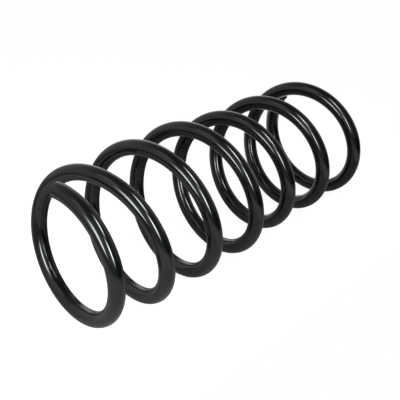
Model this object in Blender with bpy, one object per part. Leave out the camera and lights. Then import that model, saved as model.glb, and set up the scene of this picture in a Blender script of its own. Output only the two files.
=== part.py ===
"""Suspension coil spring, lying on its side on a floor.

One round steel bar is wound right-handed into a little under seven turns. Its coils are wide
for the first half and step down to a narrower coil for the second half. Both ends are open:
the bar is cut square, lies flat for a short seat, and then climbs into the coil.

Metres, +Z up. +X runs along the coil's axis, from the wide end to the narrow end. The origin
is on the floor, under the middle of the coil.
"""

import math

import bpy
from mathutils import Vector

# Bar
WIRE_DIAMETER = 0.012
WIRE_END_CHAMFER = 0.0010

# Coil, to the centre of the bar
TURNS = 6.87
TIP_RADIUS = 0.0502
OPENING_RADIUS = 0.0528
WIDE_RADIUS = 0.0547
NARROW_RADIUS = 0.0503
TIP_ANGLE = math.radians(84.63)

# Advance along the axis in one whole turn
OPENING_LEAD = 0.0630
WIDE_LEAD = 0.0482
NECK_LEAD = 0.0456
NARROW_LEAD = 0.0494

# Where the radius changes, in turns from the wide end's tip
TIP_RADIUS_ENDS = 0.40
OPENING_RADIUS_AT = 0.80
WIDE_RADIUS_STARTS = 1.60
WIDE_RADIUS_ENDS = 3.30
NARROW_RADIUS_STARTS = 3.95

# Where the lead changes, in turns from the wide end's tip
WIDE_SEAT_ENDS = 0.08
OPENING_LEAD_AT = 1.08
WIDE_LEAD_STARTS = 1.45
WIDE_LEAD_ENDS = 3.00
NECK_LEAD_AT = 3.65
NARROW_LEAD_STARTS = 4.78

# Where the narrow end closes, in turns from its tip
NARROW_RUN_OUT = 0.74
NARROW_SEAT = 0.10

# Facets that stand for the round bar and the round coil
POINTS_PER_TURN = 47
BAR_SIDES = 12

# Coat
BLACK_COAT = (0.010, 0.010, 0.011, 1.0)
COAT_ROUGHNESS = 0.22

WIRE_RADIUS = WIRE_DIAMETER / 2

# The coiler's two tables: turn and mean radius, turn and lead
RADIUS_TABLE = (
    (TIP_RADIUS_ENDS, TIP_RADIUS),
    (OPENING_RADIUS_AT, OPENING_RADIUS),
    (WIDE_RADIUS_STARTS, WIDE_RADIUS),
    (WIDE_RADIUS_ENDS, WIDE_RADIUS),
    (NARROW_RADIUS_STARTS, NARROW_RADIUS),
)
LEAD_TABLE = (
    (WIDE_SEAT_ENDS, 0.0),
    (OPENING_LEAD_AT, OPENING_LEAD),
    (WIDE_LEAD_STARTS, WIDE_LEAD),
    (WIDE_LEAD_ENDS, WIDE_LEAD),
    (NECK_LEAD_AT, NECK_LEAD),
    (NARROW_LEAD_STARTS, NARROW_LEAD),
    (TURNS - NARROW_RUN_OUT, NARROW_LEAD),
    (TURNS - NARROW_SEAT, 0.0),
)


def clear_scene():
    """Remove every object that is already in the scene."""
    for item in list(bpy.data.objects):
        bpy.data.objects.remove(item, do_unlink=True)


def share(value, start, end):
    """How far value lies from start to end, held between 0 and 1."""
    return min(max((value - start) / (end - start), 0.0), 1.0)


def mean_radius(turn):
    """Radius to the bar's centre: each change in the radius table is eased in and out."""
    radius = RADIUS_TABLE[0][1]
    for (start, before), (end, after) in zip(RADIUS_TABLE, RADIUS_TABLE[1:]):
        part = share(turn, start, end)
        radius += (after - before) * part * part * (3 - 2 * part)
    return radius


def lead_at(turn):
    """Lead at this turn, on straight lines between the rows of the lead table."""
    lead = LEAD_TABLE[0][1]
    for (start, before), (end, after) in zip(LEAD_TABLE, LEAD_TABLE[1:]):
        lead += (after - before) * share(turn, start, end)
    return lead


def height(turn):
    """Distance along the axis from the wide end's tip: the area under the leads so far."""
    marks = [0.0, *(mark for mark, _ in LEAD_TABLE if mark < turn), turn]
    spans = zip(marks, marks[1:])
    return sum((end - start) * (lead_at(start) + lead_at(end)) / 2 for start, end in spans)


def flat_sided_radius(radius):
    """Radius of the corner points whose chords carry the outer flats on the true round coil."""
    return (radius + WIRE_RADIUS) / math.cos(math.pi / POINTS_PER_TURN) - WIRE_RADIUS


def coil_point(turn):
    """Point of the bar's centre line, with the coil's axis on Z and the wide tip at Z = 0."""
    radius = flat_sided_radius(mean_radius(turn))
    angle = TIP_ANGLE + 2 * math.pi * turn
    return Vector((radius * math.cos(angle), radius * math.sin(angle), height(turn)))


def chamfer_turns(radius):
    """Share of a turn that the chamfer at the bar's cut end takes."""
    return WIRE_END_CHAMFER / (2 * math.pi * radius)


def bar_stations():
    """Turns at which the bar has a section, each with the bar's share of its full thickness."""
    first_full = chamfer_turns(mean_radius(0.0))
    last_full = TURNS - chamfer_turns(mean_radius(TURNS))
    cut_face = 1 - WIRE_END_CHAMFER / WIRE_RADIUS
    marks = [step / POINTS_PER_TURN for step in range(math.ceil(TURNS * POINTS_PER_TURN))]
    between = [mark for mark in marks if first_full < mark < last_full]
    full = [(mark, 1.0) for mark in (first_full, *between, last_full)]
    return [(0.0, cut_face), *full, (TURNS, cut_face)]


def black_coat():
    """Smooth gloss black powder coat over the steel."""
    material = bpy.data.materials.new("gloss_black_coat")
    material.diffuse_color = BLACK_COAT
    material.use_nodes = True
    shader = material.node_tree.nodes["Principled BSDF"]
    shader.inputs["Base Color"].default_value = BLACK_COAT
    shader.inputs["Roughness"].default_value = COAT_ROUGHNESS
    shader.inputs["Metallic"].default_value = 0.0
    return material


def bar_curve():
    """The bar as a bevelled curve, with flats that face along the axis and straight outwards."""
    stations = bar_stations()
    curve = bpy.data.curves.new("coil_spring", "CURVE")
    curve.dimensions = "3D"
    curve.twist_mode = "Z_UP"
    curve.bevel_mode = "ROUND"
    curve.bevel_depth = WIRE_RADIUS / math.cos(math.pi / BAR_SIDES)
    curve.bevel_resolution = BAR_SIDES // 2 - 2
    curve.use_fill_caps = True
    curve.render_resolution_u = 0
    spline = curve.splines.new("POLY")
    spline.points.add(len(stations) - 1)
    for point, (turn, thickness) in zip(spline.points, stations):
        point.co = (*coil_point(turn), 1.0)
        point.radius = thickness
        point.tilt = math.pi / BAR_SIDES
    curve.materials.append(black_coat())
    return curve


def build_spring():
    """Lay the coil on its side: its axis goes to +X, and its widest turns rest on the floor."""
    collection = bpy.data.collections.new("suspension_spring")
    bpy.context.scene.collection.children.link(collection)
    spring = bpy.data.objects.new("coil_spring", bar_curve())
    spring.rotation_euler = (math.pi / 2, 0.0, math.pi / 2)
    spring.location = (-height(TURNS) / 2, 0.0, WIDE_RADIUS + WIRE_RADIUS)
    collection.objects.link(spring)


clear_scene()
build_spring()
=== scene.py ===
"""Looks of the suspension spring: one round bar wound into an open-ended coil, coated gloss black.

Lengths are in metres, and angles in radians unless a docstring says degrees. +X runs along the
coil's axis from the wide end to the narrow end, and the floor is at Z = 0. The coil is a surface
of two parameters, the turn along the bar and the angle round it, worked out as whole arrays.
"""

import logging
import math
from dataclasses import dataclass
from enum import Enum
from typing import Any

import bpy
import numpy as np
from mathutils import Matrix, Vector


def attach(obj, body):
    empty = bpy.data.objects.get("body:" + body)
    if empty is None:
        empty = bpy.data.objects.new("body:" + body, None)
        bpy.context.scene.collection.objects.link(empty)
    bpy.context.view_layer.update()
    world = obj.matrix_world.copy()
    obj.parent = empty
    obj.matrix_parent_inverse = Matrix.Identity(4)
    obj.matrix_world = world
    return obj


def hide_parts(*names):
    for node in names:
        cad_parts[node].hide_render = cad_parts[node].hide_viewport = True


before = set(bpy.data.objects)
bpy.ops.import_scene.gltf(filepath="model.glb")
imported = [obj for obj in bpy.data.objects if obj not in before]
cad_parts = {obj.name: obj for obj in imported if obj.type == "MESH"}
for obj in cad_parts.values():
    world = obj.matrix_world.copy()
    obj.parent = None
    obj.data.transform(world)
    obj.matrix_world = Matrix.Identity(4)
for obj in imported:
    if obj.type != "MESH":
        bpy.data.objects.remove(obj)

WHITE = (1.0, 1.0, 1.0, 1.0)
UP = Vector((0.0, 0.0, 1.0))
QUARTER_TURN = 90.0
log = logging.getLogger("suspension_spring")


def unit(vectors: np.ndarray) -> np.ndarray:
    """Each row divided by its own length."""
    return vectors / np.linalg.norm(vectors, axis=-1, keepdims=True)


def direction(azimuth: float, elevation: float) -> Vector:
    """The unit vector that points azimuth degrees from +X towards +Y, and elevation degrees up."""
    turn, rise = math.radians(azimuth), math.radians(elevation)
    return Vector((math.cos(rise) * math.cos(turn), math.cos(rise) * math.sin(turn), math.sin(rise)))


class Sock:
    """A number or vector that flows between shader nodes, with Python's operators on numbers."""

    def __init__(self, tree: "NodeTree", socket: bpy.types.NodeSocket | None) -> None:
        """Keep the tree that holds the socket, and the socket, which an output node lacks."""
        self.tree = tree
        self.socket = socket

    def _math(self, operation: str, *values: Any) -> "Sock":
        """A Math node on these values."""
        inputs = dict(enumerate(values))
        return self.tree.node("ShaderNodeMath", {"operation": operation}, inputs)

    def __add__(self, other: Any) -> "Sock":
        """The sum."""
        return self._math("ADD", self, other)

    def __radd__(self, other: Any) -> "Sock":
        """The sum, with a plain number first."""
        return self._math("ADD", other, self)

    def __sub__(self, other: Any) -> "Sock":
        """The difference."""
        return self._math("SUBTRACT", self, other)

    def __rsub__(self, other: Any) -> "Sock":
        """The difference, with a plain number first."""
        return self._math("SUBTRACT", other, self)

    def __mul__(self, other: Any) -> "Sock":
        """The product."""
        return self._math("MULTIPLY", self, other)

    def __rmul__(self, other: Any) -> "Sock":
        """The product, with a plain number first."""
        return self._math("MULTIPLY", other, self)

    def __abs__(self) -> "Sock":
        """The size, without the sign."""
        return self._math("ABSOLUTE", self)

    def over(self, low: float, high: float) -> "Sock":
        """How far the value lies from low to high, eased and held between 0 and 1."""
        settings = {"interpolation_type": "SMOOTHSTEP"}
        return self.tree.node("ShaderNodeMapRange", settings, {0: self, 1: low, 2: high})

    def at_least(self, other: Any) -> "Sock":
        """The greater of the two."""
        return self._math("MAXIMUM", self, other)


class NodeTree:
    """A node tree that is filled through one method."""

    def __init__(self, tree: bpy.types.NodeTree) -> None:
        """Empty the tree and keep it."""
        tree.nodes.clear()
        self.tree = tree

    def node(self, kind: str, settings: dict[str, Any], inputs: dict[Any, Any], output: Any = 0) -> Sock:
        """Add a node.

        Args:
            kind: the node's type.
            settings: its properties, set before its sockets.
            inputs: socket name or number, and the value or Sock that it takes.
            output: name or number of the output to hand back.

        Returns:
            The chosen output as a Sock.
        """
        made = self.tree.nodes.new(kind)
        for name, value in settings.items():
            setattr(made, name, value)
        for name, value in inputs.items():
            if isinstance(value, Sock):
                self.tree.links.new(value.socket, made.inputs[name])
            else:
                made.inputs[name].default_value = value
        return Sock(self, made.outputs[output] if made.outputs else None)

    def mix_colour(self, share: Any, first: Any, second: Any) -> Sock:
        """The first colour blended into the second by share."""
        settings = {"data_type": "RGBA"}
        return self.node("ShaderNodeMix", settings, {0: share, 6: first, 7: second}, 2)

    def grey(self, level: Sock) -> Sock:
        """A grey of this level."""
        return self.node("ShaderNodeCombineColor", {}, {0: level, 1: level, 2: level})

    def scaled(self, vector: Sock, sizes: tuple[float, float, float]) -> Sock:
        """The vector with each component multiplied by its own size."""
        return self.node("ShaderNodeVectorMath", {"operation": "MULTIPLY"}, {0: vector, 1: sizes})

    def dot(self, vector: Sock, other: Vector) -> Sock:
        """The dot product of a vector and a fixed direction."""
        settings = {"operation": "DOT_PRODUCT"}
        return self.node("ShaderNodeVectorMath", settings, {0: vector, 1: other}, "Value")

    def noise(self, vector: Sock, scale: float, detail: float = 2.0) -> Sock:
        """Smooth noise about 0.5, with this many lumps a metre."""
        inputs = {"Vector": vector, "Scale": scale, "Detail": detail}
        return self.node("ShaderNodeTexNoise", {}, inputs, "Fac")


@dataclass(frozen=True)
class GlossBlackCoat:
    """Gloss black coat on steel bar.

    The coat has flowed out over the bar, so it mirrors its surroundings in a slightly wavy way:
    a fine peel, long low waves along the bar, and a few nibs of dust under the coat. Handling
    has left faint dull patches. Lumps and cells are counted by the metre.
    """

    name: str = "gloss_black_coat"
    colour: tuple[float, float, float, float] = (0.0028, 0.0038, 0.0031, 1.0)
    dusty_colour: tuple[float, float, float, float] = (0.0068, 0.0081, 0.0071, 1.0)
    sheen_tint: tuple[float, float, float, float] = (0.965, 1.0, 0.975, 1.0)
    resin_ior: float = 1.56
    gloss_roughness: float = 0.085
    dull_roughness: float = 0.17
    cloud_lumps: float = 38.0
    smudge_lumps: float = 260.0
    dull_detail: float = 3.0
    cloud_share: float = 0.7
    dull_starts: float = 0.48
    dull_full: float = 0.66
    peel_lumps: float = 430.0
    peel_height: float = 0.0000008
    wave_lumps: float = 210.0
    wave_stretch: float = 0.16
    wave_height: float = 0.0000035
    nib_cells: float = 130.0
    nib_radius: float = 0.10
    nib_crown: float = 0.3
    nib_share: float = 0.035
    nib_blend: float = 0.01
    nib_height: float = 0.00006

    def material(self) -> bpy.types.Material:
        """Make the coat's material.

        Returns:
            The material, with a Principled shader.
        """
        made = bpy.data.materials.new(self.name)
        made.use_nodes = True
        tree = NodeTree(made.node_tree)
        place = tree.node("ShaderNodeTexCoord", {}, {}, "Object")
        along = tree.node("ShaderNodeAttribute", {"attribute_name": "straight_bar"}, {}, "Vector")
        dull = self._dull(tree, place)
        nibs = self._nibs(tree, place)
        shader = tree.node(
            "ShaderNodeBsdfPrincipled",
            {},
            {
                "Base Color": tree.mix_colour(dull.at_least(nibs), self.colour, self.dusty_colour),
                "Roughness": self.gloss_roughness + (self.dull_roughness - self.gloss_roughness) * dull,
                "IOR": self.resin_ior,
                "Specular Tint": self.sheen_tint,
                "Normal": self._relief(tree, place, along, nibs),
            },
        )
        tree.node("ShaderNodeOutputMaterial", {}, {"Surface": shader})
        return made

    def _dull(self, tree: NodeTree, place: Sock) -> Sock:
        """Dull patches: broad clouds broken up by smudges, eased from where they start to full.

        Args:
            tree: the material's tree.
            place: the point on the spring.

        Returns:
            The share of dulling, from 0 to 1.
        """
        clouds = tree.noise(place, self.cloud_lumps, self.dull_detail)
        smudges = tree.noise(place, self.smudge_lumps, self.dull_detail)
        both = self.cloud_share * clouds + (1.0 - self.cloud_share) * smudges
        return both.over(self.dull_starts, self.dull_full)

    def _nibs(self, tree: NodeTree, place: Sock) -> Sock:
        """Dust nibs: the middles of a few cells, picked by each cell's own random number.

        Args:
            tree: the material's tree.
            place: the point on the spring.

        Returns:
            1 on a nib's crown, falling to 0 at its radius and elsewhere.
        """
        settings = {"feature": "F1"}
        inputs = {"Vector": place, "Scale": self.nib_cells}
        distance = tree.node("ShaderNodeTexVoronoi", settings, inputs, "Distance")
        colour = tree.node("ShaderNodeTexVoronoi", settings, inputs, "Color")
        pick = tree.node("ShaderNodeSeparateColor", {}, {"Color": colour}, "Red")
        chosen = pick.over(1.0 - self.nib_share, 1.0 - self.nib_share + self.nib_blend)
        return chosen * (1.0 - distance.over(self.nib_radius * self.nib_crown, self.nib_radius))

    def _relief(self, tree: NodeTree, place: Sock, along: Sock, nibs: Sock) -> Sock:
        """The coat's bumps: peel, long waves along the bar and nibs, as one height in metres.

        Args:
            tree: the material's tree.
            place: the point on the spring.
            along: the same point on the straightened bar.
            nibs: where the nibs are.

        Returns:
            The bumped normal.
        """
        peel = tree.noise(place, self.peel_lumps)
        waves = tree.noise(tree.scaled(along, (1.0, 1.0, self.wave_stretch)), self.wave_lumps)
        height = self.peel_height * peel + self.wave_height * waves + self.nib_height * nibs
        return tree.node("ShaderNodeBump", {}, {"Strength": 1.0, "Distance": 1.0, "Height": height})


@dataclass(frozen=True)
class CoilerTable:
    """A table of the coiling machine: a value at each of a few turns, held before and after them."""

    rows: tuple[tuple[float, float], ...]

    def eased(self, turns: np.ndarray) -> np.ndarray:
        """The value at each turn, where each change runs as 3 s squared less 2 s cubed.

        Args:
            turns: turns from the wide end's tip.

        Returns:
            The values.
        """
        value = np.full_like(turns, self.rows[0][1])
        for (start, before), (end, after) in zip(self.rows, self.rows[1:]):
            share = np.clip((turns - start) / (end - start), 0.0, 1.0)
            value += (after - before) * share * share * (3.0 - 2.0 * share)
        return value

    def area(self, turns: np.ndarray) -> np.ndarray:
        """The area from 0 to each turn under straight lines between the rows.

        A change that starts at s and ends at e adds its size times
        (part run)^2 / (2 (e - s)) + (turns past e).

        Args:
            turns: turns from the wide end's tip.

        Returns:
            The areas.
        """
        total = self.rows[0][1] * turns
        for (start, before), (end, after) in zip(self.rows, self.rows[1:]):
            run = np.clip(turns, start, end) - start
            past = np.maximum(turns - end, 0.0)
            total = total + (after - before) * (run * run / (2.0 * (end - start)) + past)
        return total


class CutEnd(Enum):
    """The two cut ends of the bar, by the way that the bar runs there."""

    WIDE = 1
    NARROW = -1


@dataclass
class CoilSpring:
    """The spring: one round bar wound right-handed, wide for the first half and then narrower.

    radii is the radius of the bar's centre line against the turn, and leads is the advance a
    turn. The wide turns, of floor_radius, lie on the floor.
    """

    bar_radius: float = 0.006
    end_rounding: float = 0.0010
    turns: float = 6.87
    tip_angle: float = math.radians(84.63)
    floor_radius: float = 0.0547
    radii: CoilerTable = CoilerTable(
        ((0.40, 0.0502), (0.80, 0.0528), (1.60, 0.0547), (3.30, 0.0547), (3.95, 0.0503))
    )
    leads: CoilerTable = CoilerTable(
        (
            (0.08, 0.0),
            (1.08, 0.0630),
            (1.45, 0.0482),
            (3.00, 0.0482),
            (3.65, 0.0456),
            (4.78, 0.0494),
            (6.13, 0.0494),
            (6.77, 0.0),
        )
    )
    rings_per_turn: int = 150
    sides: int = 56
    face_rings: int = 5
    rounding_rings: int = 7
    slope_step: float = 1.0e-4

    def centre_line(self, turns: np.ndarray) -> np.ndarray:
        """Points of the bar's centre: (advance, R cos a, R sin a) about the coil's axis.

        Args:
            turns: turns from the wide end's tip.

        Returns:
            One point a row, with the coil lying on the floor about X = 0.
        """
        radius = self.radii.eased(turns)
        angle = self.tip_angle + 2.0 * math.pi * turns
        advance = self.leads.area(turns)
        length = self.leads.area(np.array([self.turns]))
        axis_height = self.floor_radius + self.bar_radius
        across = radius * np.cos(angle)
        up = axis_height + radius * np.sin(angle)
        return np.stack([advance - length / 2.0, across, up], axis=-1)

    def end_turns(self, end: CutEnd) -> tuple[np.ndarray, np.ndarray]:
        """Rings of a cut end, from its middle to the full bar.

        The face runs flat from radius 0 to r - c, in rings of equal area. Its rounded rim then
        runs as radius (r - c) + c sin t, at c (1 - cos t) behind the face, for t from 0 to a
        quarter turn.

        Args:
            end: which end of the bar.

        Returns:
            The turn and the radius of each ring.
        """
        flat = self.bar_radius - self.end_rounding
        face = flat * np.linspace(0.0, 1.0, self.face_rings + 1)[:-1] ** 0.5
        quarter = np.linspace(0.0, math.pi / 2.0, self.rounding_rings)
        radius = np.concatenate([face, flat + self.end_rounding * np.sin(quarter)])
        behind = np.concatenate([np.zeros_like(face), self.end_rounding * (1.0 - np.cos(quarter))])
        tip = 0.0 if end is CutEnd.WIDE else self.turns
        coil_radius = self.radii.eased(np.array([tip]))
        return tip + end.value * behind / (2.0 * math.pi * coil_radius), radius

    def rings(self) -> tuple[np.ndarray, np.ndarray]:
        """Every ring from the middle of one cut face to that of the other.

        Returns:
            The turn and the radius of each ring.
        """
        first_turns, first_radii = self.end_turns(CutEnd.WIDE)
        last_turns, last_radii = self.end_turns(CutEnd.NARROW)
        count = round(self.turns * self.rings_per_turn)
        between = np.linspace(first_turns[-1], last_turns[-1], count)[1:-1]
        full = np.full_like(between, self.bar_radius)
        turns = np.concatenate([first_turns, between, last_turns[::-1]])
        return turns, np.concatenate([first_radii, full, last_radii[::-1]])

    def surface(self) -> tuple[np.ndarray, np.ndarray]:
        """The bar's surface on a grid of rings and sides.

        A point is C + r (N cos a + B sin a): C on the centre line, N square to the bar and away
        from the coil's axis, B square to both, and a the angle round the bar.

        Returns:
            The points, and the same points as if the bar were straight along Z.
        """
        turns, radii = self.rings()
        centre = self.centre_line(turns)
        ahead, behind = self.centre_line(turns + self.slope_step), self.centre_line(turns - self.slope_step)
        along = unit(ahead - behind)
        outward = centre * np.array([0.0, 1.0, 1.0])
        outward[:, 2] -= self.floor_radius + self.bar_radius
        outward = unit(outward - (outward * along).sum(-1, keepdims=True) * along)
        sideways = np.cross(along, outward)
        angle = np.linspace(0.0, 2.0 * math.pi, self.sides, endpoint=False)
        out, side = radii[:, None] * np.cos(angle), radii[:, None] * np.sin(angle)
        section = out[..., None] * outward[:, None], side[..., None] * sideways[:, None]
        points = centre[:, None] + section[0] + section[1]
        run = np.linalg.norm(np.diff(centre, axis=0, prepend=centre[:1]), axis=-1).cumsum()
        straight = np.stack([out, side, np.broadcast_to(run[:, None], out.shape)], axis=-1)
        return points, straight

    def build(self) -> bpy.types.Object:
        """Make the mesh: a grid of quads, with its first and last ring drawn in to one point.

        Returns:
            The object, at the origin.
        """
        points, straight = self.surface()
        rings = len(points)
        inner = slice(self.sides - 1, (rings - 1) * self.sides + 1)
        vertices = points.reshape(-1, 3)[inner]
        faces = self._faces(rings)
        mesh = bpy.data.meshes.new("coil")
        mesh.vertices.add(len(vertices))
        mesh.vertices.foreach_set("co", vertices.ravel())
        loops = np.concatenate([face.ravel() for face in faces])
        sizes = np.concatenate([np.full(len(face), face.shape[1]) for face in faces])
        mesh.loops.add(len(loops))
        mesh.loops.foreach_set("vertex_index", loops)
        mesh.polygons.add(len(sizes))
        mesh.polygons.foreach_set("loop_start", np.concatenate([[0], sizes.cumsum()[:-1]]))
        mesh.update(calc_edges=True)
        mesh.validate()
        mesh.shade_smooth()
        place = mesh.attributes.new("straight_bar", "FLOAT_VECTOR", "POINT")
        place.data.foreach_set("vector", straight.reshape(-1, 3)[inner].ravel())
        coil = bpy.data.objects.new("black_coil", mesh)
        bpy.context.scene.collection.objects.link(coil)
        return coil

    def _faces(self, rings: int) -> tuple[np.ndarray, np.ndarray, np.ndarray]:
        """Corner numbers of all faces, turned so that they face outwards.

        Args:
            rings: how many rings there are, with the two that are drawn in to a point.

        Returns:
            The fan on the first cut face, the quads, and the fan on the last cut face.
        """
        side = np.arange(self.sides)
        after = (side + 1) % self.sides
        start = 1 + np.arange(rings - 3)[:, None] * self.sides
        low, low_after = start + side, start + after
        high, high_after = low + self.sides, low_after + self.sides
        quads = np.stack([low, low_after, high_after, high], axis=-1).reshape(-1, 4)
        last_ring = 1 + (rings - 3) * self.sides
        pole = last_ring + self.sides
        first_fan = np.stack([np.zeros_like(side), 1 + after, 1 + side], axis=-1)
        last_fan = np.stack([np.full_like(side, pole), last_ring + side, last_ring + after], axis=-1)
        return first_fan, quads, last_fan

    def dress(self, coil: bpy.types.Object, coat: GlossBlackCoat) -> None:
        """Give the coil its coat and its place in the frame.

        Args:
            coil: the coil's object.
            coat: its finish.
        """
        coil.data.materials.append(coat.material())
        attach(coil, "root")
        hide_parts("coil_spring")


@dataclass(frozen=True)
class SoftBox:
    """A soft-edged panel of light that stands near the spring.

    Its points are middle + u across + v along, and it shines with radiance times
    fade(|u|) times fade(|v|), where fade falls from 1 at 1 - soft to 0 at 1 + soft.
    """

    name: str
    middle: tuple[float, float, float]
    across: tuple[float, float, float]
    along: tuple[float, float, float]
    radiance: float
    soft: float

    def build(self) -> bpy.types.Object:
        """Make the panel. It lights the spring but the camera doesn't see it.

        Returns:
            The panel.
        """
        reach = 1.0 + self.soft
        signs = np.array([(-1.0, -1.0), (1.0, -1.0), (1.0, 1.0), (-1.0, 1.0)])
        corners = np.array(self.middle) + reach * signs @ np.array([self.across, self.along])
        mesh = bpy.data.meshes.new(self.name)
        mesh.from_pydata(corners.tolist(), [], [(0, 1, 2, 3)])
        mesh.uv_layers.new(name="panel").data.foreach_set("uv", (reach * signs).ravel())
        mesh.materials.append(self.glow())
        made = bpy.data.objects.new(self.name, mesh)
        made.visible_camera = False
        bpy.context.scene.collection.objects.link(made)
        return made

    def glow(self) -> bpy.types.Material:
        """Make light that fades out at the edges, and lets all other light through.

        Returns:
            The panel's material.
        """
        made = bpy.data.materials.new(self.name)
        made.use_nodes = True
        tree = NodeTree(made.node_tree)
        spot = tree.node("ShaderNodeUVMap", {"uv_map": "panel"}, {})
        parts = [tree.node("ShaderNodeSeparateXYZ", {}, {0: spot}, axis) for axis in ("X", "Y")]
        fades = [1.0 - abs(part).over(1.0 - self.soft, 1.0 + self.soft) for part in parts]
        light = {"Color": tree.grey(fades[0] * fades[1]), "Strength": self.radiance}
        glow = tree.node("ShaderNodeEmission", {}, light)
        clear = tree.node("ShaderNodeBsdfTransparent", {}, {"Color": WHITE})
        both = tree.node("ShaderNodeAddShader", {}, {0: glow, 1: clear})
        tree.node("ShaderNodeOutputMaterial", {}, {"Surface": both})
        return made


@dataclass(frozen=True)
class Patch:
    """A round, soft-edged part of the room that is lighter or darker than the rest.

    azimuth and elevation point at its middle, core is where it starts to fade, and radius is
    where it ends, all in degrees. gain is the light that it adds, below 0 where it takes away.
    """

    azimuth: float
    elevation: float
    radius: float
    core: float
    gain: float

    def light(self, tree: NodeTree, way: Sock) -> Sock:
        """Light added in a direction: the gain within core degrees, and none past radius."""
        edge, middle = math.cos(math.radians(self.radius)), math.cos(math.radians(self.core))
        return self.gain * tree.dot(way, direction(self.azimuth, self.elevation)).over(edge, middle)


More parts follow.
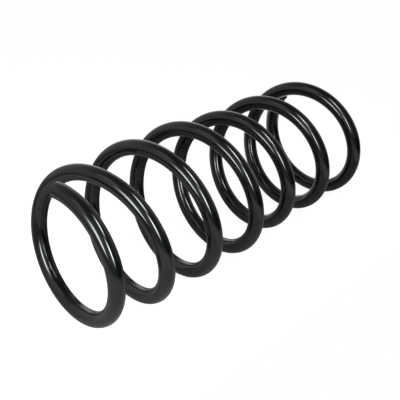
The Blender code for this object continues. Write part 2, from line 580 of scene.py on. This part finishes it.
@dataclass
class Studio:
    """The plain studio: a white sheet, a room, soft panels of light, and the camera.

    Headings and dips are in degrees. The sheet's glow is what shiny things mirror in it, and
    the part of it behind the spring, along back_heading, glows more. Levels are radiances, 1 for
    white. The room's bands are sines of the elevation between which one level turns into the next.
    """

    sheet_near: tuple[float, float] = (-0.25, -0.12)
    sheet_far: tuple[float, float] = (1.6, 1.6)
    sheet_shade: float = 0.34
    sheet_lift: float = 0.87
    sheet_glow: float = 0.02
    back_glow: float = 0.85
    back_heading: float = 47.0
    back_starts: tuple[float, float] = (0.06, 0.22)
    back_fades: tuple[float, float] = (0.12, 0.35)
    camera_place: tuple[float, float, float] = (-0.39324, -0.35557, 0.33124)
    camera_heading: float = 43.019
    camera_dip: float = 28.176
    lens: float = 65.23
    sensor: float = 36.0
    nearest_seen: float = 0.02
    wall: float = 0.48
    ceiling: float = 0.09
    table: float = 0.61
    table_rim: float = 0.20
    wall_to_ceiling: tuple[float, float] = (0.45, 1.0)
    table_to_rim: tuple[float, float] = (-0.44, -0.30)
    rim_to_wall: tuple[float, float] = (-0.12, 0.02)
    patches: tuple[Patch, ...] = (
        Patch(-66.0, 12.0, 47.0, 14.0, -0.40),
        Patch(-20.0, 42.0, 32.0, 8.0, -0.13),
        Patch(170.0, 56.0, 21.0, 2.0, 0.61),
        Patch(176.0, 20.0, 24.0, 4.0, 0.20),
        Patch(47.0, 5.0, 32.0, 6.0, 0.52),
        Patch(-40.0, -32.0, 30.0, 6.0, -0.26),
        Patch(112.0, 52.0, 42.0, 14.0, 0.10),
    )
    lights: tuple[SoftBox, ...] = (
        SoftBox(
            "left_light",
            middle=(-0.437, -0.137, 0.166),
            across=(0.022, -0.044, -0.009),
            along=(0.063, 0.056, 0.076),
            radiance=17.9,
            soft=0.59,
        ),
        SoftBox(
            "right_light",
            middle=(-0.183, -0.411, 0.197),
            across=(0.031, 0.001, -0.037),
            along=(0.020, 0.023, 0.089),
            radiance=26.9,
            soft=0.72,
        ),
        SoftBox(
            "high_light",
            middle=(-0.028, -0.276, 0.419),
            across=(0.034, 0.018, -0.008),
            along=(0.023, 0.068, 0.045),
            radiance=26.2,
            soft=0.90,
        ),
    )

    def floor(self) -> bpy.types.Object:
        """Lay a plain white sheet at Z = 0, which ends a little in front of the spring.

        Returns:
            The sheet.
        """
        (left, near), (right, far) = self.sheet_near, self.sheet_far
        corners = [(left, near, 0.0), (right, near, 0.0), (right, far, 0.0), (left, far, 0.0)]
        mesh = bpy.data.meshes.new("studio_floor")
        mesh.from_pydata(corners, [], [(0, 1, 2, 3)])
        mesh.materials.append(self.floor_paper())
        made = bpy.data.objects.new("studio_floor", mesh)
        bpy.context.scene.collection.objects.link(made)
        return made

    def floor_paper(self) -> bpy.types.Material:
        """Make matt paper, which the camera sees lifted to white wherever no shadow falls, and which glows
        for mirrored rays, most behind the spring: painted light that the coil mirrors.

        Returns:
            The sheet's material.
        """
        made = bpy.data.materials.new("white_paper")
        made.use_nodes = True
        tree = NodeTree(made.node_tree)
        seen = tree.node("ShaderNodeLightPath", {}, {}, "Is Camera Ray")
        mirrored = tree.node("ShaderNodeLightPath", {}, {}, "Is Glossy Ray")
        place = tree.node("ShaderNodeTexCoord", {}, {}, "Object")
        behind = tree.dot(place, direction(self.back_heading, 0.0)).over(*self.back_starts)
        aside = tree.dot(place, direction(self.back_heading + QUARTER_TURN, 0.0))
        # painted light: the sheet glows only for mirrored rays, most behind the spring, for the coil to
        # mirror
        glow = self.sheet_glow + self.back_glow * behind * (1.0 - abs(aside).over(*self.back_fades))
        shade = (self.sheet_shade,) * 3 + (1.0,)
        paper = tree.node("ShaderNodeBsdfDiffuse", {}, {"Color": shade})
        strength = self.sheet_lift * seen + glow * mirrored
        lift = tree.node("ShaderNodeEmission", {}, {"Color": WHITE, "Strength": strength})
        both = tree.node("ShaderNodeAddShader", {}, {0: paper, 1: lift})
        tree.node("ShaderNodeOutputMaterial", {}, {"Surface": both})
        return made

    def surroundings(self) -> None:
        """The world: white for the camera, and a room that lights the object.

        From straight down to straight up the room goes from the table to its dim rim, then to
        the wall, and then to the ceiling. The patches are added to that, and no light is below 0.
        """
        world = bpy.data.worlds.new("studio")
        bpy.context.scene.world = world
        world.use_nodes = True
        tree = NodeTree(world.node_tree)
        way = tree.node("ShaderNodeTexCoord", {}, {}, "Generated")
        up = tree.dot(way, UP)
        room = self.wall - (self.wall - self.ceiling) * up.over(*self.wall_to_ceiling)
        below = self.table - (self.table - self.table_rim) * up.over(*self.table_to_rim)
        upper = up.over(*self.rim_to_wall)
        light = below * (1.0 - upper) + room * upper
        for patch in self.patches:
            light = light + patch.light(tree, way)
        light = light.at_least(0.0)
        camera = tree.node("ShaderNodeLightPath", {}, {}, "Is Camera Ray")
        strength = camera + (1.0 - camera) * light
        back = tree.node("ShaderNodeBackground", {}, {"Color": WHITE, "Strength": strength})
        tree.node("ShaderNodeOutputWorld", {}, {"Surface": back})

    def camera(self) -> bpy.types.Object:
        """Set up the camera, unrolled, at the place and heading that the coil's outline gives.

        Returns:
            The camera's object.
        """
        lens = bpy.data.cameras.new("camera")
        lens.sensor_width = self.sensor
        lens.lens = self.lens
        lens.clip_start = self.nearest_seen
        made = bpy.data.objects.new("camera", lens)
        away = -direction(self.camera_heading, -self.camera_dip)
        made.location = self.camera_place
        made.rotation_euler = away.to_track_quat("Z", "Y").to_euler()
        bpy.context.scene.collection.objects.link(made)
        bpy.context.scene.camera = made
        return made

    def build(self) -> None:
        """Set up the view, the camera, the floor, the surroundings and the panels of light."""
        view = bpy.context.scene.view_settings
        view.view_transform = "Standard"
        self.camera()
        self.floor()
        self.surroundings()
        for light in self.lights:
            light.build()


def main() -> None:
    """Build the studio and the spring."""
    logging.basicConfig(level=logging.INFO, format="%(message)s")
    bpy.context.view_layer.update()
    studio = Studio()
    studio.build()
    log.info("studio: %d lights", len(studio.lights))
    spring = CoilSpring()
    coil = spring.build()
    spring.dress(coil, GlossBlackCoat())
    log.info("%s: %d faces", coil.name, len(coil.data.polygons))


if __name__ == "__main__":
    main()
